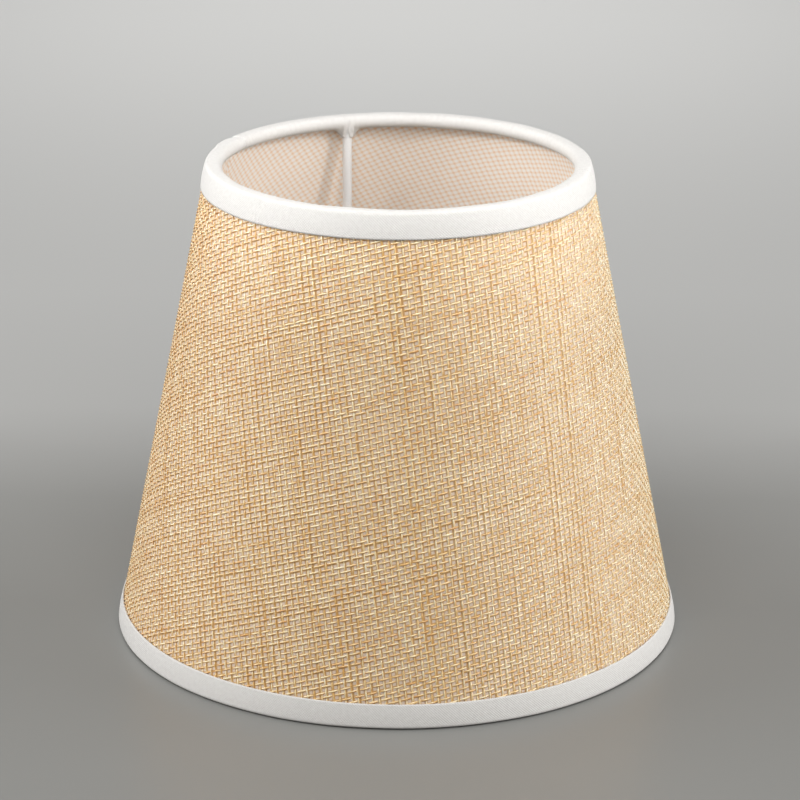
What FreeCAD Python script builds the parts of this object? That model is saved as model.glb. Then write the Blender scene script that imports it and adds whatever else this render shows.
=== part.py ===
import FreeCAD, Part
import math
import os
import Sketcher

# An empire lamp shade: a woven cover laminated to a plastic lining, closed by a lap seam and held
# between two wire rings by rolled cloth trims. Three rods drop from the top ring to a recessed washer
# that the lampholder passes through. The origin is on the shade's axis, at the foot of the shade.

DRIVING_SIZES = [
    ("top_diameter", 119, "over the trim at the top rim"),
    ("bottom_diameter", 180, "over the trim at the bottom rim"),
    ("height", 151, "foot of the bottom trim to the top of the top trim"),
    ("cover_thickness", 0.8, "woven cover, two yarns deep"),
    ("liner_thickness", 0.4, "plastic lining"),
    ("tape_thickness", 0.15, "adhesive strip inside the lap seam"),
    ("trim_thickness", 0.5, "rolled cloth trim"),
    ("top_trim_depth", 8, "top trim's outside leg, along the height"),
    ("bottom_trim_depth", 7.5, "bottom trim's outside leg, along the height"),
    ("top_corner", 1.5, "soft outer corner where the top trim turns over the rim"),
    ("bottom_corner", 0.9, "crisper outer corner where the bottom trim turns under the rim"),
    ("wall_inset", 1.5, "rim to the cut edge of the cover and the lining"),
    ("ring_wire", 3.4, "wire of the top and bottom rings"),
    ("arm_wire", 3, "wire of the drop arms"),
    ("arm_bend", 6, "bend radius of a drop arm, at the middle of the wire"),
    ("first_arm_azimuth", 107.3, "degrees from +X towards +Y"),
    ("fitter_bore", 42, "hole for an E27 lampholder"),
    ("fitter_diameter", 52, "outside of the fitter washer"),
    ("fitter_thickness", 1.6, "sheet steel of the fitter washer"),
    ("fitter_edge", 0.4, "rounding of the washer's outer edges"),
    ("fitter_drop", 45, "top rim to the washer's upper face"),
    ("weld_sink", 0.15, "how far an arm is pressed into the washer by its weld"),
    ("lap_angle", 6, "degrees of cone where the outer end overlaps the lining's bare inner end"),
    ("jog_angle", 2, "degrees in which the outer end climbs over the inner one"),
    ("butt_gap", 0.4, "degrees between the cover's two ends, where they meet beside the lap"),
    ("seam_azimuth", 156, "degrees from +X to the lining's inner end"),
]
ARM_SIDES = ("back", "left", "right")

SLOPE = "((Size.bottom_diameter - Size.top_diameter) / 2 / Size.height)"
LEAN = f"sqrt(1 + {SLOPE} ^ 2)"
LAP_RISE = "(Size.liner_thickness + Size.tape_thickness)"
LINER_DEPTH = "(Size.trim_thickness + Size.cover_thickness)"
WALL_DEPTH = f"({LINER_DEPTH} + Size.liner_thickness)"


def make_sheet(doc):
    """The spreadsheet that every size is bound to."""
    sheet = doc.addObject("Spreadsheet::Sheet", "Size")
    for row, (name, value, meaning) in enumerate(DRIVING_SIZES, start=1):
        sheet.set(f"A{row}", meaning)
        sheet.set(f"B{row}", str(value))
        sheet.setAlias(f"B{row}", name)
    doc.recompute()
    return sheet


def wall_radius(height, depth):
    """Radius at a height, a given depth in from the trims' outer face, square to the wall."""
    return f"(Size.bottom_diameter / 2 - ({height}) * {SLOPE} - ({depth}) * {LEAN})"


class Rim:
    """One end of the cone: the heights and radii that its ring, trim and cut edge share."""

    def __init__(self, height, inward, trim_depth, corner):
        self.height = height
        self.inward = inward
        self.corner = corner
        self.trim_end = self.at(trim_depth)
        self.cut_edge = self.at("Size.wall_inset")
        self.ring_height = self.at("(Size.trim_thickness + Size.ring_wire / 2)")
        self.ring_radius = wall_radius(self.ring_height, f"{WALL_DEPTH} + Size.ring_wire / 2")

    def at(self, distance):
        """The height at a distance in from the rim."""
        return f"({self.height} + {self.inward} * {distance})"


TOP = Rim("Size.height", -1, "Size.top_trim_depth", "Size.top_corner")
BOTTOM = Rim("0", 1, "Size.bottom_trim_depth", "Size.bottom_corner")
ARM_HEIGHT = "(Size.height - Size.fitter_drop - Size.fitter_thickness - Size.arm_wire / 2 + Size.weld_sink)"


def origin_plane(body, role):
    """One of a body's own origin planes."""
    return next(feature for feature in body.Origin.OriginFeatures if feature.Role == role)


def new_sketch(body, name, role, turn=None):
    """A sketch on an origin plane, turned about the body's axis if an angle is given."""
    sketch = body.newObject("Sketcher::SketchObject", name)
    sketch.AttachmentSupport = [(origin_plane(body, role), "")]
    sketch.MapMode = "FlatFace"
    if turn:
        upright = FreeCAD.Rotation(FreeCAD.Vector(0, 1, 0), 1)
        sketch.AttachmentOffset = FreeCAD.Placement(FreeCAD.Vector(), upright)
        sketch.setExpression("AttachmentOffset.Rotation.Angle", turn)
    return sketch


def evaluate(sketch, *coordinates):
    """The point that expressions give now."""
    return FreeCAD.Vector(*(float(sketch.evalExpression(value)) for value in coordinates))


def bind(sketch, expression, *constraint):
    """Add a constraint whose value follows an expression."""
    value = float(sketch.evalExpression(expression))
    index = sketch.addConstraint(Sketcher.Constraint(*constraint, value))
    sketch.setExpression(f"Constraints[{index}]", expression)


def draw_outline(sketch, corners, centres=None, closed=True):
    """Join corners, given as expressions, with lines, or with arcs where a centre is given.

    centres maps a corner's index to (centre x, centre y, radius, +1 for counter-clockwise or -1) for
    the arc that runs from that corner to the next one.
    """
    centres = centres or {}
    points = [evaluate(sketch, *corner) for corner in corners]
    count = len(corners) if closed else len(corners) - 1
    ends = []
    for index in range(count):
        first, second = points[index], points[(index + 1) % len(points)]
        if index in centres:
            ends.append(draw_arc(sketch, first, second, *centres[index]))
        else:
            line = sketch.addGeometry(Part.LineSegment(first, second))
            ends.append((line, 1, 2))
    for index, (x, y) in enumerate(corners):
        geometry, start, end = ends[min(index, count - 1)]
        vertex = start if index < count else end
        bind(sketch, x, "DistanceX", -1, 1, geometry, vertex)
        bind(sketch, y, "DistanceY", -1, 1, geometry, vertex)
    joints = range(count) if closed else range(count - 1)
    for index in joints:
        here, there = ends[index], ends[(index + 1) % count]
        sketch.addConstraint(Sketcher.Constraint("Coincident", here[0], here[2], there[0], there[1]))


def draw_arc(sketch, first, second, centre_x, centre_y, radius, turning):
    """Add an arc and return its index with the vertex numbers at its first and second end."""
    centre = evaluate(sketch, centre_x, centre_y)
    circle = Part.Circle(centre, FreeCAD.Vector(0, 0, 1), float(sketch.evalExpression(radius)))
    angles = [math.atan2(point.y - centre.y, point.x - centre.x) for point in (first, second)]
    if turning < 0:
        angles.reverse()
    arc = sketch.addGeometry(Part.ArcOfCircle(circle, *angles))
    bind(sketch, centre_x, "DistanceX", -1, 1, arc, 3)
    return (arc, 1, 2) if turning > 0 else (arc, 2, 1)


def new_body(doc, label, azimuth=None, height=None):
    """A body turned about the shade's axis and raised, by expressions."""
    body = doc.addObject("PartDesign::Body", label)
    if azimuth:
        body.Placement = FreeCAD.Placement(FreeCAD.Vector(), FreeCAD.Rotation(FreeCAD.Vector(0, 0, 1), 1))
        body.setExpression("Placement.Rotation.Angle", azimuth)
    if height:
        body.setExpression("Placement.Base.z", height)
    return body


def revolve(body, name, sketch, angle):
    """Sweep a section about the shade's axis."""
    feature = body.newObject("PartDesign::Revolution", name)
    feature.Profile = sketch
    feature.ReferenceAxis = (sketch, ["V_Axis"])
    feature.setExpression("Angle", angle)
    return feature


def loft(body, name, first, second):
    """Join two sections of the same outline with ruled faces."""
    feature = body.newObject("PartDesign::AdditiveLoft", name)
    feature.Profile = first
    feature.Sections = [second]
    feature.Ruled = True
    return feature


def draw_layer(sketch, depth, thickness, rise):
    """Section of one layer of the wall, from cut edge to cut edge."""
    outer, inner = f"{depth} - {rise}", f"{depth} + {thickness} - {rise}"
    corners = [
        (wall_radius(edge, face), edge)
        for edge, face in (
            (BOTTOM.cut_edge, inner),
            (BOTTOM.cut_edge, outer),
            (TOP.cut_edge, outer),
            (TOP.cut_edge, inner),
        )
    ]
    draw_outline(sketch, corners)


def make_lapped_layer(doc, label, depth, thickness, start_angle):
    """A sheet rolled into a cone from a start angle, whose outer end climbs over the lining's inner end."""
    body = new_body(doc, label, "Size.seam_azimuth")
    start = new_sketch(body, f"{label}_start", "XZ_Plane", start_angle)
    draw_layer(start, depth, thickness, "0")
    revolve(body, f"{label}_wall", start, f"360 - Size.jog_angle - ({start_angle})")
    foot = new_sketch(body, f"{label}_jog_foot", "XZ_Plane", "360 - Size.jog_angle")
    draw_layer(foot, depth, thickness, "0")
    crest = new_sketch(body, f"{label}_jog_crest", "XZ_Plane")
    draw_layer(crest, depth, thickness, LAP_RISE)
    loft(body, f"{label}_jog", foot, crest)
    revolve(body, f"{label}_lap", crest, "Size.lap_angle")
    return body


def make_seam_tape(doc):
    """The adhesive strip on the lining's bare inner end, under the outer end's lining."""
    body = new_body(doc, "seam_tape", "Size.seam_azimuth")
    section = new_sketch(body, "seam_tape_section", "XZ_Plane")
    draw_layer(section, LINER_DEPTH, "Size.tape_thickness", "Size.tape_thickness")
    revolve(body, "seam_tape_strip", section, "Size.lap_angle")
    return body


def draw_trim(sketch, rim, rise):
    """Section of a trim: up the wall's outside, over the rim and round the wire ring."""
    corner_height = rim.at(rim.corner)
    corner_radius = wall_radius(corner_height, f"{rim.corner} - {rise}")
    inner_corner = f"({rim.corner} - Size.trim_thickness)"
    bead = "(Size.ring_wire / 2 + Size.trim_thickness)"
    top_face = rim.at("0")
    lining_face = rim.at("Size.trim_thickness")

    def on_corner(radius):
        """Where an arc about the corner's centre meets a line along the wall."""
        return f"({corner_radius} + {radius} / {LEAN})", f"({corner_height} + {radius} * {SLOPE} / {LEAN})"

    def beside_ring(distance):
        return rim.ring_radius, f"({rim.ring_height} + {rim.inward} * {distance})"

    corners = [
        (wall_radius(rim.trim_end, f"-{rise}"), rim.trim_end),
        on_corner(rim.corner),
        (corner_radius, top_face),
        (rim.ring_radius, top_face),
        beside_ring(bead),
        beside_ring("Size.ring_wire / 2"),
        (rim.ring_radius, lining_face),
        (corner_radius, lining_face),
        on_corner(inner_corner),
        (wall_radius(rim.trim_end, f"Size.trim_thickness - {rise}"), rim.trim_end),
    ]
    outward, homeward = -rim.inward, rim.inward
    centres = {
        1: (corner_radius, corner_height, rim.corner, outward),
        3: (rim.ring_radius, rim.ring_height, bead, outward),
        5: (rim.ring_radius, rim.ring_height, "Size.ring_wire / 2", homeward),
        7: (corner_radius, corner_height, inner_corner, homeward),
    }
    draw_outline(sketch, corners, centres)


def make_trim(doc, label, rim):
    """A rolled trim: plain round the cone, and raised where it passes over the lap seam."""
    body = new_body(doc, label, "Size.seam_azimuth")
    lap_end = "Size.lap_angle + Size.jog_angle"
    sections = {}
    for name, turn, rise in (
        ("plain_start", lap_end, "0"),
        ("climb_foot", "360 - Size.jog_angle", "0"),
        ("crest_start", None, LAP_RISE),
        ("crest_end", "Size.lap_angle", LAP_RISE),
        ("descent_foot", lap_end, "0"),
    ):
        sections[name] = new_sketch(body, f"{label}_{name}", "XZ_Plane", turn)
        draw_trim(sections[name], rim, rise)
    revolve(body, f"{label}_plain", sections["plain_start"], "360 - Size.lap_angle - 2 * Size.jog_angle")
    loft(body, f"{label}_climb", sections["climb_foot"], sections["crest_start"])
    revolve(body, f"{label}_crest", sections["crest_start"], "Size.lap_angle")
    loft(body, f"{label}_descent", sections["crest_end"], sections["descent_foot"])
    return body


def make_ring(doc, label, rim):
    """A wire ring, butt-welded shut."""
    ring = doc.addObject("Part::Torus", label)
    ring.setExpression("Radius1", rim.ring_radius)
    ring.setExpression("Radius2", "Size.ring_wire / 2")
    ring.setExpression("Placement.Base.z", rim.ring_height)
    return ring


def make_fitter_washer(doc):
    """The pressed washer that sits on the lampholder."""
    body = new_body(doc, "fitter_washer", height="Size.height - Size.fitter_drop - Size.fitter_thickness")
    sketch = new_sketch(body, "washer_outline", "XY_Plane")
    for diameter in ("Size.fitter_bore", "Size.fitter_diameter"):
        radius = f"{diameter} / 2"
        circle = Part.Circle(FreeCAD.Vector(), FreeCAD.Vector(0, 0, 1), float(sketch.evalExpression(radius)))
        index = sketch.addGeometry(circle)
        sketch.addConstraint(Sketcher.Constraint("Coincident", index, 3, -1, 1))
        bind(sketch, radius, "Radius", index)
    pad = body.newObject("PartDesign::Pad", "washer_sheet")
    pad.Profile = sketch
    pad.setExpression("Length", "Size.fitter_thickness")
    doc.recompute()
    rim_radius = float(sketch.evalExpression("Size.fitter_diameter / 2"))
    rims = [
        f"Edge{number}"
        for number, edge in enumerate(pad.Shape.Edges, start=1)
        if isinstance(edge.Curve, Part.Circle) and abs(edge.Curve.Radius - rim_radius) < 0.01
    ]
    rounding = body.newObject("PartDesign::Fillet", "washer_edge")
    rounding.Base = (pad, rims)
    rounding.setExpression("Radius", "Size.fitter_edge")
    return body


def make_arm_wire(doc, side, place):
    """One rod as bent: down from the ring, round a bend, and in to the washer."""
    azimuth = f"Size.first_arm_azimuth + {place} * 360 / {len(ARM_SIDES)}"
    body = new_body(doc, f"arm_wire_{side}", azimuth)
    wire = new_sketch(body, f"wire_section_{side}", "XY_Plane")
    wire.setExpression("AttachmentOffset.Base.z", TOP.ring_height)
    centre = FreeCAD.Vector(float(wire.evalExpression(TOP.ring_radius)), 0, 0)
    size = float(wire.evalExpression("Size.arm_wire / 2"))
    circle = wire.addGeometry(Part.Circle(centre, FreeCAD.Vector(0, 0, 1), size))
    bind(wire, "Size.arm_wire / 2", "Radius", circle)
    bind(wire, TOP.ring_radius, "DistanceX", -1, 1, circle, 3)
    wire.addConstraint(Sketcher.Constraint("PointOnObject", circle, 3, -1))
    route = new_sketch(body, f"wire_route_{side}", "XZ_Plane")
    bend_radius = f"({TOP.ring_radius} - Size.arm_bend)"
    bend_height = f"({ARM_HEIGHT} + Size.arm_bend)"
    corners = [
        (TOP.ring_radius, TOP.ring_height),
        (TOP.ring_radius, bend_height),
        (bend_radius, ARM_HEIGHT),
        ("(Size.fitter_bore + Size.fitter_diameter) / 4", ARM_HEIGHT),
    ]
    draw_outline(route, corners, {1: (bend_radius, bend_height, "Size.arm_bend", -1)}, closed=False)
    pipe = body.newObject("PartDesign::AdditivePipe", f"wire_{side}")
    pipe.Profile = wire
    pipe.Spine = (route, [])
    return body


def cut(doc, label, base, tools):
    """A piece with the shapes of its neighbours taken out of it."""
    tool = tools[0]
    if len(tools) > 1:
        tool = doc.addObject("Part::MultiFuse", f"{label}_neighbours")
        tool.Shapes = tools
    piece = doc.addObject("Part::Cut", label)
    piece.Base = base
    piece.Tool = tool
    return piece


def make_drop_arms(doc, steel):
    """Three rods, each coped where it is welded to the ring above and flat where it meets the washer."""
    arms = []
    for place, side in enumerate(ARM_SIDES):
        wire = make_arm_wire(doc, side, place)
        arms.append(cut(doc, f"drop_arm_{side}", wire, steel))
    return arms


def make_pieces(doc):
    """Every sub-part, in the order in which the shade is built up."""
    top_ring = make_ring(doc, "top_ring", TOP)
    bottom_ring = make_ring(doc, "bottom_ring", BOTTOM)
    washer = make_fitter_washer(doc)
    arms = make_drop_arms(doc, [top_ring, washer])
    beside_lap = "Size.lap_angle + Size.butt_gap"
    cover = make_lapped_layer(doc, "fabric_cover", "Size.trim_thickness", "Size.cover_thickness", beside_lap)
    liner = make_lapped_layer(doc, "liner", LINER_DEPTH, "Size.liner_thickness", "0")
    tape = make_seam_tape(doc)
    top_trim = cut(doc, "top_trim", make_trim(doc, "top_trim_roll", TOP), arms)
    bottom_trim = make_trim(doc, "bottom_trim", BOTTOM)
    return [top_ring, bottom_ring, washer, *arms, liner, cover, tape, top_trim, bottom_trim]


def check(doc, pieces):
    """Stop if any object failed or any sub-part isn't one sound solid."""
    for item in doc.Objects:
        if "Invalid" in item.State or "Error" in item.State:
            raise RuntimeError(f"{item.Label} failed: {item.State}")
    for piece in pieces:
        if piece.Shape.isNull() or not piece.Shape.isValid() or len(piece.Shape.Solids) != 1:
            raise RuntimeError(f"{piece.Label} is not one valid solid")


def main():
    doc = FreeCAD.newDocument("lamp_shade")
    make_sheet(doc)
    pieces = make_pieces(doc)
    doc.recompute()
    check(doc, pieces)
    os.makedirs("parts", exist_ok=True)
    for piece in pieces:
        piece.Shape.exportStep(f"parts/{piece.Label}.step")
        box = piece.Shape.BoundBox
        print(f"{piece.Label}: {piece.Shape.Volume:.0f} mm3, z {box.ZMin:.2f} to {box.ZMax:.2f}")


main()
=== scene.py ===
import math

import bpy
import numpy as np
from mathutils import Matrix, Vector


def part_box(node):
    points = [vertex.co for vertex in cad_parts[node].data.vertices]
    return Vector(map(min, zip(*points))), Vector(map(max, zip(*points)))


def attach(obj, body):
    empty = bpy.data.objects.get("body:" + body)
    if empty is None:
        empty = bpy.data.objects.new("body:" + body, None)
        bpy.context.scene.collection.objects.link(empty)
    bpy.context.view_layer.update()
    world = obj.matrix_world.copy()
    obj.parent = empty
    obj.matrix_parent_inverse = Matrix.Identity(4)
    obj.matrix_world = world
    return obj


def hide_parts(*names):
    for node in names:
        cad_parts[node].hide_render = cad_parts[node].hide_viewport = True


# A small empire lamp shade: a straw-coloured cover woven thread by thread, laminated to a translucent
# lining, with white cloth tape rolled over both wire rings. Lengths are in metres, angles in degrees.

MM = 0.001
FRONT = 270.0  # azimuth that the camera looks from, counted from +X towards +Y
FLOOR = -0.3 * MM  # a little below the shade, which stands on the unevenness of its trim
FLOOR_HALF = 6.0  # half the floor's side

# The laminate, from its inner face outwards, and its lap seam.
LINER_THICKNESS = 0.4 * MM
COVER_THICKNESS = 0.8 * MM
SEAM_TAPE_THICKNESS = 0.15 * MM
LINING_START = 156.0  # azimuth of the lining's inner end, which the lap lies over
LAP_ANGLE = 6.0  # how far round the lap reaches
JOG_ANGLE = 2.0  # how long the laminate takes to climb onto the lap
BUTT_GAP = 0.4  # angle between the cover's two ends
LAP_RISE = LINER_THICKNESS + SEAM_TAPE_THICKNESS
COVER_START = LINING_START + LAP_ANGLE + BUTT_GAP
COVER_END = LINING_START + LAP_ANGLE + 360
WALL_INSET = 1.5 * MM  # from a trim's outermost edge to the cover's cut edge

# The weave, as threads per metre across the flat sheet: x to the right of the front line, y up it.
WARP_COUNT = (512.0, 58.0)
WEFT_COUNT = (-168.0, 628.0)
EDGE_POINTS = 400  # that the cover's edges are followed by, to count the threads it needs
SIDES = 6  # corners of a thread's cross-section
QUADS_PER_PIECE = 95000
FILM_DEPTH = 0.42 * MM  # of the glue on the lining, that the threads are bedded in
FILM_COLUMNS = 720
FILM_ROWS = 60

# How uneven the threads are: the size of each random change, and the crossings from one value to the next.
WANDER = 0.07  # stray from the thread's own line, as a share of the thread spacing
WANDER_KNOTS = 9
WIDTH_CHANGE = 0.10
WIDTH_KNOTS = 5
TWIST_CHANGE = 0.12
TWIST_KNOTS = 7

# The straw's tone: its drifts and fibres per metre of thread, and what keeps one thread's unlike another's.
DRIFTS = 210.0
FIBRES = 330.0
FIBRES_ACROSS = 2.6
THREAD_APART = 71.0

# The rolled tape, and the arms that it hangs over.
TAPE_THICKNESS = 0.46 * MM
TAPE_START = 147.0  # azimuth of the tape's inner end
TAPE_OVERLAP = 6.0  # how far round its outer end lies on it
PRESSED = 0.56  # thickness of each end where they overlap, as a share of the tape's
PRESS_FADE = 4.0  # angle over which the pressed part regains its thickness
CLOTH_PITCH = 0.57 * MM  # spacing of the tape's own threads
ARM_WIRE = 3.0 * MM
ARMS = ("drop_arm_back", "drop_arm_left", "drop_arm_right")

# The studio: softboxes and snoots stand round the middle of the shade.
MIDDLE = Vector((0.0, 0.0, 75 * MM))
SOFTBOX_SIZE = 0.45
SOFTBOX_DISTANCE = 0.6
SNOOT_BEAM = 9.0
SNOOT_DISTANCE = 0.5
SNOOT_ELEVATION = 40.0
SNOOT_POWER = 14.0
SNOOT_HEIGHT = 112 * MM  # how high on the lining it shines


class Cone:
    """The wall's shape, read from the two wire rings that it is tangent to."""

    def __init__(self):
        self.top_radius, self.top_height, self.wire = ring_circle("top_ring")
        self.bottom_radius, self.bottom_height, _ = ring_circle("bottom_ring")
        rise = self.top_height - self.bottom_height
        self.lean = math.atan2(self.bottom_radius - self.top_radius, rise)
        self.sine, self.cosine = math.sin(self.lean), math.cos(self.lean)
        touch_radius = self.bottom_radius + self.wire * self.cosine
        touch_height = self.bottom_height + self.wire * self.sine
        self.foot_radius = touch_radius + touch_height * math.tan(self.lean)
        self.foot_reach = self.foot_radius / self.sine

    def radius(self, height, out):
        """Radius of a surface parallel to the wall, out from the lining's inner face."""
        return self.foot_radius - height * math.tan(self.lean) + out / self.cosine

    def flat_to_polar(self, x, y):
        """Azimuth and slant distance from the foot, of a point on the flat sheet."""
        reach = np.hypot(x, self.foot_reach - y)
        turn = np.arctan2(x, self.foot_reach - y)
        return FRONT + np.degrees(turn) / self.sine, self.foot_reach - reach

    def polar_to_flat(self, azimuth, slant):
        turn = np.radians(azimuth - FRONT) * self.sine
        reach = self.foot_reach - slant
        return reach * np.sin(turn), self.foot_reach - reach * np.cos(turn)

    def place(self, azimuth, slant, out):
        """The point in space at an azimuth, up the slant, and out from the lining's inner face."""
        radius = self.foot_radius - slant * self.sine + out * self.cosine
        height = slant * self.cosine + out * self.sine
        angle = np.radians(azimuth)
        return np.stack([radius * np.cos(angle), radius * np.sin(angle), height], axis=-1)


def ring_circle(node):
    """Radius and height of a wire ring's centre line, and the wire's own radius."""
    low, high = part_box(node)
    wire = (high[2] - low[2]) / 2
    return high[0] - wire, (high[2] + low[2]) / 2, wire


def arm_azimuth(arm):
    """The azimuth of the upright part of an arm's mesh."""
    points = np.array([vertex.co for vertex in arm.data.vertices])
    upright = points[points[:, 2] > points[:, 2].mean()]
    middle = (upright.min(axis=0) + upright.max(axis=0)) / 2
    return math.degrees(math.atan2(middle[1], middle[0])) % 360


def smooth_step(value):
    """A soft climb from 0 to 1, flat beyond both ends."""
    value = np.clip(value, 0.0, 1.0)
    return value * value * (3 - 2 * value)


def lap_rise(azimuth):
    """How far the laminate stands out at an azimuth counted on from its start."""
    return LAP_RISE * smooth_step((azimuth - (LINING_START + 360 - JOG_ANGLE)) / JOG_ANGLE)


def soft_noise(random, places, size):
    """Smooth random values at places counted in knots, from 0 up."""
    knots = random.normal(0.0, size, int(places.max()) + 2)
    base = places.astype(int)
    blend = smooth_step(places - base)
    return knots[base] * (1 - blend) + knots[base + 1] * blend


def soft_noise_grid(random, rows, columns, size):
    """Smooth random values on a grid, at rows and columns counted in knots."""
    knots = random.normal(0.0, size, (int(rows.max()) + 2, int(columns.max()) + 2))
    row, column = rows.astype(int), columns.astype(int)
    down, right = smooth_step(rows - row)[:, None], smooth_step(columns - column)
    upper = knots[row][:, column] * (1 - right) + knots[row][:, column + 1] * right
    lower = knots[row + 1][:, column] * (1 - right) + knots[row + 1][:, column + 1] * right
    return upper * (1 - down) + lower * down


class Threads:
    """One set of parallel threads of the plain weave: how they lie, and how one is cut and shaped."""

    def __init__(self, name, lies_on, width, thickness, middle, crimp, steps, first_over):
        self.name = name
        self.lies_on = lies_on  # 0 if its own number is the warp's, 1 if the weft's
        self.width = width
        self.thickness = thickness
        self.middle = middle  # mean height of its centre line over the lining's outer face
        self.crimp = crimp
        self.steps = steps  # rings of points from one crossing to the next
        self.first_over = first_over  # 1 if thread 0 lies over at crossing 0, -1 if under


WARPS = Threads(
    "warps",
    lies_on=0,
    width=0.58 * MM,
    thickness=0.40 * MM,
    middle=0.42 * MM,
    crimp=0.14 * MM,
    steps=3,
    first_over=1,
)
WEFTS = Threads(
    "wefts",
    lies_on=1,
    width=0.56 * MM,
    thickness=0.40 * MM,
    middle=0.48 * MM,
    crimp=0.28 * MM,
    steps=4,
    first_over=-1,
)


def grid_to_flat():
    """The matrix that turns thread numbers into a place on the flat sheet."""
    return np.linalg.inv(np.array([WARP_COUNT, WEFT_COUNT]))


def number_ranges(cone, low, high):
    """Lowest and highest warp and weft number on the sheet, between two slant distances."""
    azimuths = np.linspace(COVER_START, COVER_END, EDGE_POINTS)
    edges = [np.stack(cone.polar_to_flat(azimuths, slant)) for slant in (low, high)]
    numbers = np.array([WARP_COUNT, WEFT_COUNT]) @ np.concatenate(edges, axis=1)
    return np.floor(numbers.min(axis=1)).astype(int), np.ceil(numbers.max(axis=1)).astype(int)


def inside_runs(inside, shortest=4):
    """The stretches where inside holds, as pairs of first and one past the last."""
    edges = np.flatnonzero(np.diff(np.concatenate([[0], inside.astype(int), [0]])))
    return [(a, b) for a, b in edges.reshape(-1, 2) if b - a >= shortest]


def thread_surface(cone, threads, number, places, random, slants):
    """Rings of points round one thread, with the attributes of each, for every stretch on the sheet."""
    crossings = places - places[0]
    stray = random.normal(0.0, WANDER) + soft_noise(random, crossings / WANDER_KNOTS, WANDER)
    numbers = [number + stray, places] if threads.lies_on == 0 else [places, number + stray]
    x, y = grid_to_flat() @ np.stack(numbers)
    along_x, along_y = np.gradient(x), np.gradient(y)
    length = np.hypot(along_x, along_y)
    distance = np.cumsum(length)
    over = threads.first_over * (1 if number % 2 == 0 else -1)
    lift = over * np.cos(np.pi * places)
    middle = LINER_THICKNESS + threads.middle + threads.crimp * lift
    half_width = threads.width / 2 * (1 + soft_noise(random, crossings / WIDTH_KNOTS, WIDTH_CHANGE))
    half_thickness = threads.thickness / 2
    twist = soft_noise(random, crossings / TWIST_KNOTS, TWIST_CHANGE)
    angles = np.arange(SIDES) * 2 * np.pi / SIDES
    across = half_width[:, None] * np.cos(angles)
    up = half_thickness * np.sin(angles) + across * np.sin(twist)[:, None]
    ring_x = x[:, None] + across * (-along_y / length)[:, None]
    ring_y = y[:, None] + across * (along_x / length)[:, None]
    azimuth, slant = cone.flat_to_polar(ring_x, ring_y)
    points = cone.place(azimuth, slant, middle[:, None] + up + lap_rise(azimuth))
    middle_azimuth, middle_slant = cone.flat_to_polar(x, y)
    inside = (middle_azimuth > COVER_START) & (middle_azimuth < COVER_END)
    inside &= (middle_slant > slants[0]) & (middle_slant < slants[1])
    along = np.broadcast_to(distance[:, None], across.shape)
    around = np.broadcast_to(np.cos(angles), across.shape)
    facts = np.stack([along, around, np.full(across.shape, random.random())], axis=-1)
    return [(points[a:b], facts[a:b]) for a, b in inside_runs(inside)]


def tube_faces(rings):
    """Faces of a closed tube of six-sided rings, its two ends shut."""
    ring = np.arange(rings - 1)[:, None] * SIDES
    corner = np.arange(SIDES)
    following = (corner + 1) % SIDES
    quad = [ring + corner, ring + following, ring + SIDES + following, ring + SIDES + corner]
    sides = np.stack(quad, axis=-1)
    first_end = np.array([[3, 2, 1, 0], [5, 4, 3, 0]])
    last_end = (rings - 1) * SIDES + np.array([[0, 1, 2, 3], [0, 3, 4, 5]])
    return np.concatenate([sides.reshape(-1, 4), first_end, last_end])


def cut_edges(cone):
    """Slant distances from the foot to the cover's lower and upper cut edge."""
    bottom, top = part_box("bottom_trim")[0][2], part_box("top_trim")[1][2]
    return (bottom + WALL_INSET) / cone.cosine, (top - WALL_INSET) / cone.cosine


def weave(cone, threads, random):
    """Every thread of one set, gathered into pieces of a size that stays easy to handle."""
    slants = cut_edges(cone)
    lowest, highest = number_ranges(cone, *slants)
    own, other = threads.lies_on, 1 - threads.lies_on
    places = np.arange(lowest[other] - 1, highest[other] + 1, 1 / threads.steps)
    pieces, points, facts, faces, total, corners = [], [], [], [], 0, 0
    for number in range(lowest[own], highest[own] + 1):
        for run_points, run_facts in thread_surface(cone, threads, number, places, random, slants):
            run_faces = tube_faces(len(run_points))
            if total + len(run_faces) > QUADS_PER_PIECE:
                pieces.append((np.concatenate(points), np.concatenate(facts), np.concatenate(faces)))
                points, facts, faces, total, corners = [], [], [], 0, 0
            points.append(run_points.reshape(-1, 3))
            facts.append(run_facts.reshape(-1, 3))
            faces.append(run_faces + corners)
            corners += run_points.shape[0] * SIDES
            total += len(run_faces)
    pieces.append((np.concatenate(points), np.concatenate(facts), np.concatenate(faces)))
    return [
        mesh_object(f"{threads.name}_{place}", points, faces, thread=facts)
        for place, (points, facts, faces) in enumerate(pieces, start=1)
    ]


def add_object(name, data):
    piece = bpy.data.objects.new(name, data)
    bpy.context.collection.objects.link(piece)
    return piece


def mesh_object(name, points, faces, **vectors):
    """A smooth-shaded mesh of quads, with a layer of texture coordinates and named vectors on its points."""
    mesh = bpy.data.meshes.new(name)
    mesh.vertices.add(len(points))
    mesh.vertices.foreach_set("co", points.astype(np.float32).ravel())
    mesh.loops.add(len(faces) * 4)
    mesh.loops.foreach_set("vertex_index", faces.astype(np.int32).ravel())
    mesh.polygons.add(len(faces))
    mesh.polygons.foreach_set("loop_start", np.arange(0, len(faces) * 4, 4, dtype=np.int32))
    mesh.polygons.foreach_set("use_smooth", np.ones(len(faces), dtype=bool))
    for label, values in vectors.items():
        attribute = mesh.attributes.new(label, "FLOAT_VECTOR", "POINT")
        attribute.data.foreach_set("vector", values.astype(np.float32).ravel())
    layer = mesh.uv_layers.new(name="OFBake")
    layer.data.foreach_set("uv", tiled_corners(len(faces)).astype(np.float32).ravel())
    mesh.update(calc_edges=True)
    mesh.validate()
    return add_object(name, mesh)


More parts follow.
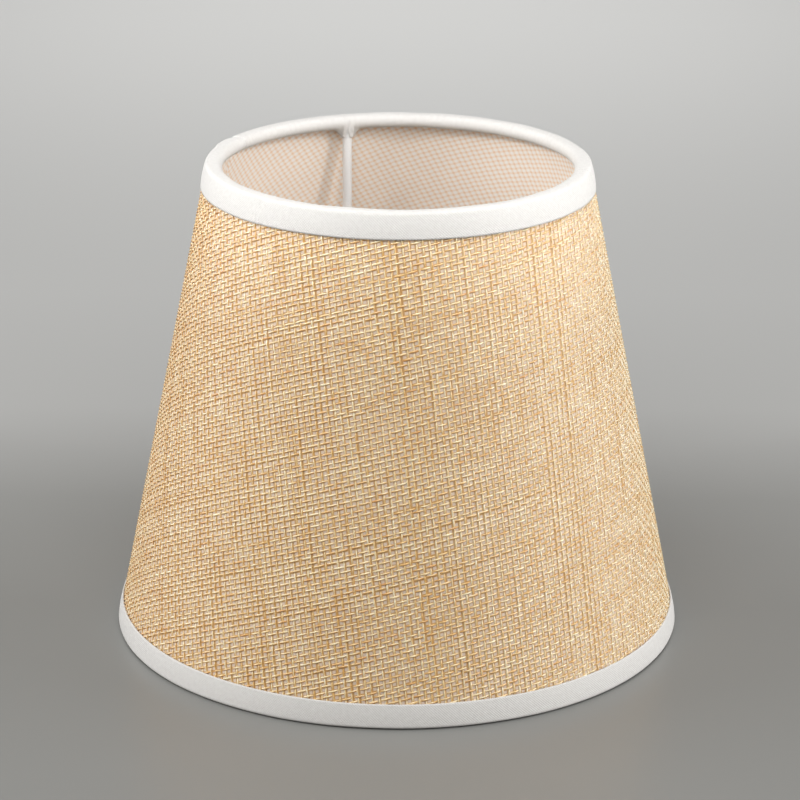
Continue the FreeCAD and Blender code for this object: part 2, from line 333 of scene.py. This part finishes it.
def tiled_corners(count):
    """Texture coordinates that give each face, in order, a tile of its own, row by row."""
    columns = math.ceil(math.sqrt(count))
    tiles = np.arange(count)
    corner = np.stack([tiles % columns, tiles // columns], axis=-1)[:, None, :]
    margin = 0.04
    square = np.array([[0.0, 0.0], [1.0, 0.0], [1.0, 1.0], [0.0, 1.0]])
    return (corner + margin + (1 - 2 * margin) * square) / columns


def grid_faces(rows, columns, first=0, flipped=False):
    """Faces of a grid of points numbered row by row."""
    corner = first + np.arange(rows - 1)[:, None] * columns + np.arange(columns - 1)
    faces = np.stack([corner, corner + 1, corner + columns + 1, corner + columns], axis=-1).reshape(-1, 4)
    return faces[:, ::-1] if flipped else faces


def rim_faces(rows, columns, back):
    """Faces that join the border of a grid to that of a second grid, numbered on from back."""
    bottom = np.arange(columns)
    right = np.arange(rows) * columns + columns - 1
    top = (rows - 1) * columns + np.arange(columns)[::-1]
    left = np.arange(rows)[::-1] * columns
    border = np.concatenate([bottom[:-1], right[:-1], top[:-1], left[:-1]])
    following = np.roll(border, -1)
    return np.stack([following, border, border + back, following + back], axis=-1)


def surface_normals(points):
    """Unit normals of a grid of points."""
    normals = np.cross(np.gradient(points, axis=1), np.gradient(points, axis=0))
    return normals / np.linalg.norm(normals, axis=-1, keepdims=True)


def thick_sheet(name, middle, thickness, **vectors):
    """A closed sheet about a grid of points, as thick as it says there, the grid's normals facing out."""
    rows, columns = middle.shape[:2]
    offset = surface_normals(middle) * thickness / 2
    points = np.concatenate([(middle + offset).reshape(-1, 3), (middle - offset).reshape(-1, 3)])
    back = rows * columns
    faces = [
        grid_faces(rows, columns),
        grid_faces(rows, columns, back, flipped=True),
        rim_faces(rows, columns, back),
    ]
    doubled = {label: np.tile(values.reshape(-1, 3), (2, 1)) for label, values in vectors.items()}
    return mesh_object(name, points, np.concatenate(faces), **doubled)


class RolledTape:
    """A trim: cloth tape glued up the wall's outside, rolled over a wire ring and tucked in behind it."""

    LEG_ROWS = 12
    CORNER_ROWS = 6
    TOP_ROWS = 4
    ROLL_ROWS = 22
    STEP = 0.75  # degrees between its columns, and then between those at an arm and at the cover's lap
    ARM_STEP = 0.14
    JOG_STEP = 0.2
    LEAST_STEP = 0.08  # a column closer than this to the last is left out
    ARM_SPAN = 7  # degrees to each side of an arm that have the close columns
    PUFF = 0.16 * MM  # how far the tape stands off the cover between its glued edges
    UNEVEN = 0.05 * MM
    UNEVEN_TURN = 9  # degrees from one random value to the next
    RUMPLE = 0.07 * MM  # of what hangs over an arm
    RUMPLE_TURN = 0.6
    RUMPLE_ROWS = 3
    HANG = 4.9 * MM  # how far it hangs down an arm from the middle of the ring
    ARM_HALF = 1.3 * MM  # half of what hangs, before it fades out over the next length
    ARM_FADE = 1.9 * MM
    SLIT_SIDE = 0.3 * MM  # where the split in what hangs lies, beside the arm's middle
    SLIT_HALF = 0.45 * MM
    SLIT_SHARE = 0.7  # of the hang's length
    CLEARANCE = 0.01 * MM  # least height of its lower face

    def __init__(self, cone, node, corner, depth, facing, arms=()):
        low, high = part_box(node)
        self.cone = cone
        self.node = node
        self.corner = corner  # radius of its outer corner
        self.depth = depth  # how much of the wall's outside it covers
        self.facing = facing  # 1 if it rolls over the top, -1 under the bottom
        self.arms = arms
        self.rim = high[2] if facing > 0 else low[2]
        self.ring_radius = cone.top_radius if facing > 0 else cone.bottom_radius
        self.ring_height = cone.top_height if facing > 0 else cone.bottom_height

    def azimuths(self):
        """Azimuths from end to end, closer together near the arms and at both ends of the cover's lap."""
        places = [np.arange(TAPE_START, TAPE_START + 360 + TAPE_OVERLAP, self.STEP)]
        for arm in self.arms:
            beside = np.arange(-self.ARM_SPAN, self.ARM_SPAN, self.ARM_STEP)
            places.append((arm - TAPE_START) % 360 + TAPE_START + beside)
        for edge in (LINING_START - JOG_ANGLE, LINING_START + LAP_ANGLE):
            places.append(edge + np.arange(0, JOG_ANGLE, self.JOG_STEP))
        joined = np.unique(np.round(np.concatenate(places), 3))
        return joined[np.concatenate([[True], np.diff(joined) > self.LEAST_STEP])]

    def outside(self, azimuth):
        """Rows of radius and height up the wall's outside, round the corner and across to the ring."""
        cone, half, facing = self.cone, TAPE_THICKNESS / 2, self.facing
        counted_on = np.where(azimuth < TAPE_START + 180, azimuth + 360, azimuth)
        past_lap = smooth_step((counted_on - COVER_END) / JOG_ANGLE)
        face = LINER_THICKNESS + COVER_THICKNESS + TAPE_THICKNESS + lap_rise(counted_on) * (1 - past_lap)
        corner_height = self.rim - facing * self.corner
        corner_radius = cone.radius(corner_height, face - self.corner)
        bend = self.corner - half
        start = self.rim - facing * self.depth
        rows = []
        for share in np.linspace(0, 1, self.LEG_ROWS, endpoint=False):
            height = start + (corner_height + bend * cone.sine - start) * share
            puff = self.PUFF * math.sin(math.pi * share)
            rows.append((cone.radius(height, face - half + puff), height))
        for angle in np.linspace(cone.lean, facing * math.pi / 2, self.CORNER_ROWS):
            rows.append((corner_radius + bend * math.cos(angle), corner_height + bend * math.sin(angle)))
        for share in np.linspace(0, 1, self.TOP_ROWS + 2)[1:-1]:
            radius = corner_radius + (self.ring_radius - corner_radius) * share
            rows.append((radius, self.rim - facing * half))
        return rows

    def round_ring(self, azimuth):
        """Rows of radius and height round the inner side of the ring, hanging down over the arms."""
        reach = self.cone.wire + TAPE_THICKNESS / 2
        arm_reach = ARM_WIRE / 2 + TAPE_THICKNESS / 2
        near, across = self.arm_share(azimuth)
        slit = 1 - self.SLIT_SHARE * np.exp(-(((across - self.SLIT_SIDE) / self.SLIT_HALF) ** 2))
        front = self.ring_radius - np.sqrt(np.clip(arm_reach**2 - across**2, 0, None))
        rows = []
        for share in np.linspace(0, 1, self.ROLL_ROWS):
            angle = self.facing * math.pi * (0.5 + share)
            hang = max(0.0, 2 * share - 1)
            pull = smooth_step(hang)
            blend = near if hang > 0 else 0.0
            tucked_radius = self.ring_radius + reach * math.cos(angle)
            tucked_height = self.ring_height + reach * math.sin(angle)
            hung_radius = (self.ring_radius - reach) * (1 - pull) + front * pull
            hung_height = self.ring_height - self.HANG * hang * slit
            radius = tucked_radius * (1 - blend) + hung_radius * blend
            rows.append((radius, tucked_height * (1 - blend) + hung_height * blend))
        return rows

    def arm_share(self, azimuth):
        """How far each azimuth belongs to an arm, from 0 to 1, and its distance across from that arm."""
        near = np.zeros_like(azimuth)
        across = np.full_like(azimuth, self.ring_radius)
        for arm in self.arms:
            distance = np.radians((azimuth - arm + 180) % 360 - 180) * self.ring_radius
            beyond = np.clip(np.abs(distance) - self.ARM_HALF, 0, None)
            share = np.exp(-((beyond / self.ARM_FADE) ** 2))
            across = np.where(share > near, distance, across)
            near = np.maximum(near, share)
        return near, across

    def build(self, name, random):
        """The tape as a closed sheet of cloth, its end lapped over its start, and its width."""
        azimuth = self.azimuths()
        turned = azimuth - TAPE_START
        rows = self.outside(azimuth) + self.round_ring(azimuth)
        if self.facing < 0:
            rows.reverse()
        radius = np.array([np.broadcast_to(row[0], azimuth.shape) for row in rows])
        height = np.array([np.broadcast_to(row[1], azimuth.shape) for row in rows])
        turn = np.radians(azimuth)
        middle = np.stack([radius * np.cos(turn), radius * np.sin(turn), height], axis=-1)
        pressed, thickness = self.pressed_lap(turned)
        uneven = soft_noise(random, turned / self.UNEVEN_TURN, self.UNEVEN)
        knots = np.arange(len(rows)) / self.RUMPLE_ROWS, turned / self.RUMPLE_TURN
        rumple = soft_noise_grid(random, *knots, self.RUMPLE) * self.arm_share(azimuth)[0]
        middle += surface_normals(middle) * (uneven + pressed + rumple)[..., None]
        middle[..., 2] = np.maximum(middle[..., 2], thickness / 2 + self.CLEARANCE)
        steps = np.linalg.norm(np.diff(middle[:, 0], axis=0), axis=-1)
        across = np.concatenate([[0], np.cumsum(steps)])[:, None]
        along = turn * self.ring_radius
        cloth = np.stack(np.broadcast_arrays(along, across, 0.0), axis=-1)
        return thick_sheet(name, middle, thickness[:, None], cloth=cloth), float(across[-1, 0])

    @staticmethod
    def pressed_lap(turned):
        """Where its end lies on its start, pressed thin: its middle's step outwards, and its thickness."""
        under = 1 - smooth_step((turned - TAPE_OVERLAP) / PRESS_FADE)
        over = smooth_step((turned - 360 + PRESS_FADE) / PRESS_FADE)
        thickness = TAPE_THICKNESS * (1 - (1 - PRESSED) * np.maximum(under, over))
        outwards = over * (1.5 * PRESSED - 0.5) - under * (1 - PRESSED) / 2
        return TAPE_THICKNESS * outwards, thickness


def glue_film(cone):
    """The film of glue on the lining that the threads are bedded in."""
    slant, azimuth = np.meshgrid(
        np.linspace(*cut_edges(cone), FILM_ROWS),
        np.linspace(COVER_START, COVER_END, FILM_COLUMNS),
        indexing="ij",
    )
    points = cone.place(azimuth, slant, LINER_THICKNESS + FILM_DEPTH + lap_rise(azimuth))
    x, y = cone.polar_to_flat(azimuth, slant)
    numbers = [count[0] * x + count[1] * y for count in (WARP_COUNT, WEFT_COUNT)]
    facts = np.stack([*numbers, np.zeros_like(x)], axis=-1)
    faces = grid_faces(FILM_ROWS, FILM_COLUMNS)
    return mesh_object("glue_film", points.reshape(-1, 3), faces, threads=facts.reshape(-1, 3))


class Finish:
    """A material being made: a Principled shader, and the nodes that feed it."""

    def __init__(self, name, **sockets):
        self.material = bpy.data.materials.new(name)
        self.material.use_nodes = True
        self.tree = self.material.node_tree
        self.shader = self.tree.nodes["Principled BSDF"]
        self.output = self.tree.nodes["Material Output"]
        for socket, value in sockets.items():
            self.feed(self.shader.inputs[socket.replace("_", " ")], value)

    def feed(self, socket, value):
        """Join a node's output to a socket, or set the socket's own value."""
        if isinstance(value, bpy.types.NodeSocket):
            self.tree.links.new(value, socket)
        else:
            socket.default_value = value

    def add(self, kind, settings=None, **sockets):
        node = self.tree.nodes.new("ShaderNode" + kind)
        for setting, value in (settings or {}).items():
            setattr(node, setting, value)
        for socket, value in sockets.items():
            self.feed(node.inputs[socket.replace("_", " ")], value)
        return node

    def colour(self, value):
        self.feed(self.shader.inputs["Base Color"], value)

    def math(self, operation, *values):
        """A math node on values that are numbers or other nodes' outputs."""
        node = self.add("Math", {"operation": operation})
        for socket, value in zip(node.inputs, values):
            self.feed(socket, value)
        return node.outputs[0]

    def attribute(self, name):
        """The three numbers of a named vector on the mesh."""
        vector = self.add("Attribute", {"attribute_name": name}).outputs["Vector"]
        return self.add("SeparateXYZ", Vector=vector).outputs

    def combine(self, x, y, z):
        return self.add("CombineXYZ", X=x, Y=y, Z=z).outputs[0]

    def noise(self, vector, scale=1.0, detail=2.0):
        return self.add("TexNoise", Vector=vector, Scale=scale, Detail=detail).outputs["Fac"]

    def object_point(self):
        return self.add("TexCoord").outputs["Object"]

    def ramp(self, value, *stops):
        """A colour for each value, from stops of a place and a linear colour."""
        node = self.add("ValToRGB", Fac=value)
        for _ in stops[2:]:
            node.color_ramp.elements.new(0.5)
        for element, (place, colour) in zip(node.color_ramp.elements, stops):
            element.position = place
            element.color = (*colour, 1.0)
        return node.outputs["Color"]

    def grey_range(self, value, low, high, to_low, to_high):
        """The value moved from one range to another, and held at the new one's ends."""
        sockets = {"From_Min": low, "From_Max": high, "To_Min": to_low, "To_Max": to_high}
        return self.add("MapRange", Value=value, **sockets).outputs[0]

    def mix(self, share, first, second):
        """The first colour, or the second where the share is 1."""
        node = self.add("Mix", {"data_type": "RGBA"})
        self.feed(node.inputs[0], share)
        self.feed(node.inputs[6], first)
        self.feed(node.inputs[7], second)
        return node.outputs[2]

    def bump(self, height, distance, strength=1.0):
        bump = self.add("Bump", Height=height, Distance=distance, Strength=strength)
        self.feed(self.shader.inputs["Normal"], bump.outputs[0])

    def let_through(self, colour, share):
        """Mix in a share of light passed through and scattered, in a colour."""
        glow = self.add("BsdfTranslucent", Color=(*colour, 1.0))
        mixed = self.add("MixShader", Fac=share)
        self.feed(mixed.inputs[1], self.shader.outputs[0])
        self.feed(mixed.inputs[2], glow.outputs[0])
        self.feed(self.output.inputs["Surface"], mixed.outputs[0])


def straw_finish(name, dark, middle, light):
    """Glossy paper-straw thread: fibres along it, tone that drifts along each thread and between threads,
    and each thread painted lighter on one side and darker orange on the other, as painted highlight and
    painted shade.
    """
    coat = {"Coat_Weight": 1.0, "Coat_Roughness": 0.28, "Coat_IOR": 1.9}
    finish = Finish(name, Roughness=0.35, Specular_IOR_Level=0.9, **coat)
    along, around, thread = finish.attribute("thread")
    own = finish.math("MULTIPLY", thread, THREAD_APART)
    drift = finish.noise(finish.combine(finish.math("MULTIPLY", along, DRIFTS), own, 0.0))
    fibre_x = finish.math("MULTIPLY", along, FIBRES)
    fibre_y = finish.math("MULTIPLY", around, FIBRES_ACROSS)
    fibres = finish.noise(finish.combine(fibre_x, fibre_y, own))
    tone = finish.math("MULTIPLY", drift, 0.45)
    # The around share is painted light: the +around side of each thread is painted lighter, up to the
    # near-white top stop, as a painted highlight, and the other side darker orange, as painted shade.
    for part, share in ((fibres, 0.5), (thread, 0.05), (around, 0.09)):
        tone = finish.math("MULTIPLY_ADD", part, share, tone)
    finish.colour(finish.ramp(tone, (0.38, dark), (0.5, middle), (0.60, light)))
    finish.bump(fibres, 0.08 * MM, 0.5)
    return finish.material


def near_thread(finish, number, inner, outer, most=1.0):
    """How near a thread's middle: most within the inner share of the spacing, 0 beyond the outer one."""
    return finish.grey_range(finish.math("PINGPONG", number, 0.5), inner, outer, most, 0.0)


def glue_finish():
    """Milky glue film: pinkish white between the threads, and tan in a band along each thread as painted
    shade where the threads shade it.
    """
    finish = Finish("glue", Roughness=0.4, Specular_IOR_Level=0.4)
    warp_number, weft_number, _ = finish.attribute("threads")
    # Painted shade: the film is coloured tan beside and under each thread, where the threads shade it.
    warp_shade = near_thread(finish, warp_number, 0.18, 0.30)
    weft_shade = near_thread(finish, weft_number, 0.14, 0.26)
    patches = finish.noise(finish.object_point(), 90.0, 3.0)
    open_film = finish.ramp(patches, (0.3, (0.95, 0.79, 0.66)), (0.7, (0.99, 0.85, 0.73)))
    shaded_film = finish.ramp(patches, (0.3, (0.68, 0.39, 0.13)), (0.7, (0.75, 0.47, 0.19)))
    finish.colour(finish.mix(finish.math("MAXIMUM", warp_shade, weft_shade), open_film, shaded_film))
    finish.let_through((0.98, 0.84, 0.70), 0.3)
    return finish.material


def lining_finish(cone):
    """White satin film with the threads behind it painted on as tan lines, darkest where they cross: partly
    the threads showing through, partly painted shadow of them in the light let through the wall.
    """
    finish = Finish("lining", Roughness=0.38, Specular_IOR_Level=0.45)
    numbers = thread_numbers(finish, cone)
    tone = finish.math("ADD", *(near_thread(finish, number, 0.08, 0.32, most=0.5) for number in numbers))
    # Partly painted light: white between the threads for the light let through the wall, tan for the
    # threads' shadow in it, darker where two cross.
    open_white, one_thread_shadow, crossing = (0.99, 0.94, 0.90), (0.95, 0.81, 0.68), (0.89, 0.65, 0.44)
    finish.colour(finish.ramp(tone, (0.0, open_white), (0.5, one_thread_shadow), (1.0, crossing)))
    return finish.material


def thread_numbers(finish, cone):
    """The warp and weft number behind each point of the wall, from its place on the unrolled cone."""
    x, y, _ = finish.add("SeparateXYZ", Vector=finish.object_point()).outputs
    radius = finish.math("SQRT", finish.math("MULTIPLY_ADD", x, x, finish.math("MULTIPLY", y, y)))
    reach = finish.math("DIVIDE", radius, cone.sine)
    from_front = finish.math("ARCTAN2", x, finish.math("MULTIPLY", y, -1.0))
    seam = math.radians(COVER_START - FRONT)
    counted_on = finish.math("WRAP", from_front, seam + 2 * math.pi, seam)
    turn = finish.math("MULTIPLY", counted_on, cone.sine)
    flat_x = finish.math("MULTIPLY", reach, finish.math("SINE", turn))
    down = finish.math("MULTIPLY", finish.math("COSINE", turn), -1.0)
    flat_y = finish.math("MULTIPLY_ADD", reach, down, cone.foot_reach)
    return [
        finish.math("MULTIPLY_ADD", flat_x, count[0], finish.math("MULTIPLY", flat_y, count[1]))
        for count in (WARP_COUNT, WEFT_COUNT)
    ]


def adhesive_finish():
    """The clear double-sided tape in the lap seam."""
    finish = Finish("adhesive", Roughness=0.3, Specular_IOR_Level=0.5)
    patches = finish.noise(finish.object_point(), 250.0, 4.0)
    finish.colour(finish.ramp(patches, (0.35, (0.62, 0.56, 0.47)), (0.65, (0.74, 0.69, 0.60))))
    return finish.material


def trim_finish():
    """White bias-cut cotton tape: a fine plain weave at 45 degrees to its length."""
    finish = Finish("trim", Roughness=0.8, Specular_IOR_Level=0.3, Sheen_Weight=0.15, Sheen_Roughness=0.4)
    along, across, _ = finish.attribute("cloth")
    turns = 2 * math.pi / CLOTH_PITCH / math.sqrt(2)
    ways = [
        finish.math("SINE", finish.math("MULTIPLY", finish.math(way, along, across), turns))
        for way in ("ADD", "SUBTRACT")
    ]
    crossing = finish.math("ADD", *ways)
    slubs = finish.noise(finish.combine(along, across, 0.0), 900.0)
    weave_height = finish.math("MULTIPLY_ADD", crossing, 0.25, slubs)
    finish.bump(weave_height, 0.09 * MM, 0.8)
    tone = finish.math("MULTIPLY_ADD", crossing, 0.07, slubs)
    finish.colour(finish.ramp(tone, (0.3, (0.70, 0.68, 0.655)), (0.7, (0.755, 0.74, 0.715))))
    return finish.material


def wire_finish():
    """White powder coat on wire, with a faint orange peel."""
    finish = Finish("powder_coat", Roughness=0.35, Specular_IOR_Level=0.5)
    peel = finish.noise(finish.object_point(), 1400.0, 2.0)
    tone = finish.noise(finish.object_point(), 60.0, 3.0)
    finish.colour(finish.ramp(tone, (0.3, (0.78, 0.78, 0.78)), (0.7, (0.83, 0.83, 0.82))))
    finish.bump(peel, 0.03 * MM, 0.4)
    return finish.material


def floor_finish():
    """Flat satin grey floor, painted darker in front of the shade and lighter from behind it on: painted
    shading of a sweep curving up into the light.
    """
    finish = Finish("floor", Roughness=0.35, Specular_IOR_Level=0.5)
    _, behind, _ = finish.add("SeparateXYZ", Vector=finish.object_point()).outputs
    place = finish.grey_range(behind, -0.2, 1.0, 0.0, 1.0)
    # Painted shading: dark grey in front of the shade, rising to light grey behind it.
    finish.colour(
        finish.ramp(
            place,
            (0.17, (0.24, 0.24, 0.23)),
            (0.25, (0.30, 0.30, 0.29)),
            (0.33, (0.46, 0.46, 0.45)),
            (0.45, (0.53, 0.53, 0.52)),
            (0.95, (0.62, 0.62, 0.61)),
        )
    )
    return finish.material


def paint(piece, material):
    piece.data.materials.clear()
    piece.data.materials.append(material)


def make_floor():
    mesh = bpy.data.meshes.new("floor")
    signs = ((-1, -1), (1, -1), (1, 1), (-1, 1))
    mesh.from_pydata([(x * FLOOR_HALF, y * FLOOR_HALF, FLOOR) for x, y in signs], [], [(0, 1, 2, 3)])
    floor = add_object("floor", mesh)
    paint(floor, floor_finish())


def step_towards(azimuth, elevation, distance):
    """The step in a direction, over a distance."""
    turn, climb = math.radians(azimuth), math.radians(elevation)
    level = math.cos(climb)
    return Vector((level * math.cos(turn), level * math.sin(turn), math.sin(climb))) * distance


def on_wall(cone, azimuth, height):
    """A place on the lining's inner face."""
    radius, turn = cone.radius(height, 0.0), math.radians(azimuth)
    return Vector((radius * math.cos(turn), radius * math.sin(turn), height))


def aim(piece, place, target, roll=0.0):
    piece.location = place
    piece.rotation_euler = (target - place).to_track_quat("-Z", "Y").to_euler()
    piece.rotation_euler.rotate_axis("Z", math.radians(roll))


def softbox(name, place, target, size, power, spread=180.0):
    light = bpy.data.lights.new(name, "AREA")
    light.size = size
    light.energy = power
    light.spread = math.radians(spread)
    aim(add_object(name, light), place, target)


def snoot(name, place, target):
    """A narrow beam, for the inside of the shade."""
    light = bpy.data.lights.new(name, "SPOT")
    light.spot_size = math.radians(SNOOT_BEAM)
    light.spot_blend = 1.0
    light.shadow_soft_size = 60 * MM
    light.energy = SNOOT_POWER
    aim(add_object(name, light), place, target)


def make_lights(cone):
    for name, azimuth, elevation, power in (
        ("left_softbox", 184.0, 17.0, 2.0),
        ("right_softbox", 351.0, 9.0, 2.55),
        ("upper_softbox", 266.0, 54.0, 2.25),
    ):
        place = MIDDLE + step_towards(azimuth, elevation, SOFTBOX_DISTANCE)
        softbox(name, place, MIDDLE, SOFTBOX_SIZE, power)
    backdrop, over_it = Vector((0.0, 0.9, 0.0)), Vector((0.0, 1.1, 1.2))
    softbox("backdrop_softbox", over_it, backdrop, size=0.8, power=2.1, spread=60.0)
    for name, azimuth, far_side in (("left_snoot", 210.0, 28.0), ("right_snoot", 330.0, 152.0)):
        place = MIDDLE + step_towards(azimuth, SNOOT_ELEVATION, SNOOT_DISTANCE)
        snoot(name, place, on_wall(cone, far_side, SNOOT_HEIGHT))


def make_world():
    """Dim, slightly warm light from all round."""
    world = bpy.data.worlds.new("studio")
    bpy.context.scene.world = world
    world.use_nodes = True
    sockets = world.node_tree.nodes["Background"].inputs
    sockets["Color"].default_value = (1.0, 0.99, 0.97, 1.0)
    sockets["Strength"].default_value = 0.33


def make_camera():
    lens = bpy.data.cameras.new("camera")
    lens.lens = 139.6
    lens.sensor_width = 36.0
    lens.clip_start = 0.05
    camera = add_object("camera", lens)
    target = Vector((0.76 * MM, 0.0, 72.2 * MM))
    place = target + step_towards(FRONT, elevation=19.51, distance=0.9823)
    aim(camera, place, target, roll=0.235)
    bpy.context.scene.camera = camera


def make_threads(cone, random):
    """The cover's threads, woven, painted and put in the cover's place."""
    # Both sets are one straw: the warps' creamier colours are painted sheen, for the side light that upright
    # threads catch and level ones miss.
    warp_finish = straw_finish("straw_warp", (0.72, 0.37, 0.06), (0.93, 0.69, 0.32), (1.0, 0.92, 0.70))
    weft_finish = straw_finish("straw_weft", (0.65, 0.26, 0.025), (0.86, 0.54, 0.16), (1.0, 0.88, 0.58))
    pieces = []
    for kind, finish in ((WARPS, warp_finish), (WEFTS, weft_finish)):
        for piece in weave(cone, kind, random):
            paint(piece, finish)
            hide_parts("fabric_cover")
            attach(piece, "root")
            pieces.append(piece)
    return pieces


def make_cover(cone, random):
    """The woven cover: the glue film, unrolled a sector of a ring, and the threads bedded in it."""
    film = glue_film(cone)
    paint(film, glue_finish())
    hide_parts("fabric_cover")
    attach(film, "root")
    threads = make_threads(cone, random)


def make_trims(cone, nodes, random):
    """Both rolled tapes, the top one with what hangs down each arm."""
    arms = [arm_azimuth(nodes[arm]) for arm in ARMS]
    finish = trim_finish()
    for tape in (
        RolledTape(cone, "top_trim", corner=1.5 * MM, depth=8.0 * MM, facing=1, arms=arms),
        RolledTape(cone, "bottom_trim", corner=0.9 * MM, depth=7.5 * MM, facing=-1),
    ):
        piece, width = tape.build("rolled_" + tape.node, random)
        paint(piece, finish)
        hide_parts(tape.node)
        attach(piece, "root")


def paint_cad_meshes(cone, nodes):
    """Materials for the pieces that are shown as the CAD model has them."""
    paint(nodes["liner"], lining_finish(cone))
    paint(nodes["seam_tape"], adhesive_finish())
    metal = wire_finish()
    for node in ("top_ring", "bottom_ring", "fitter_washer", *ARMS):
        paint(nodes[node], metal)


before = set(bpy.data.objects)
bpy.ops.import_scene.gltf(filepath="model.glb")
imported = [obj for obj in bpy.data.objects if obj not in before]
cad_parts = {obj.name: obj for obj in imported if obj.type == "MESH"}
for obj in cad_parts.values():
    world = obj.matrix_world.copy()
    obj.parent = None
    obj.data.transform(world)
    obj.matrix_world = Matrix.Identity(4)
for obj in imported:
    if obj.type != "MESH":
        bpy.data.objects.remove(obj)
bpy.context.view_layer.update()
random = np.random.default_rng(20)
cone = Cone()

make_camera()
make_lights(cone)
make_world()
make_floor()
make_cover(cone, random)
make_trims(cone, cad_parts, random)
paint_cad_meshes(cone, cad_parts)

bpy.context.scene.view_settings.view_transform = "Standard"
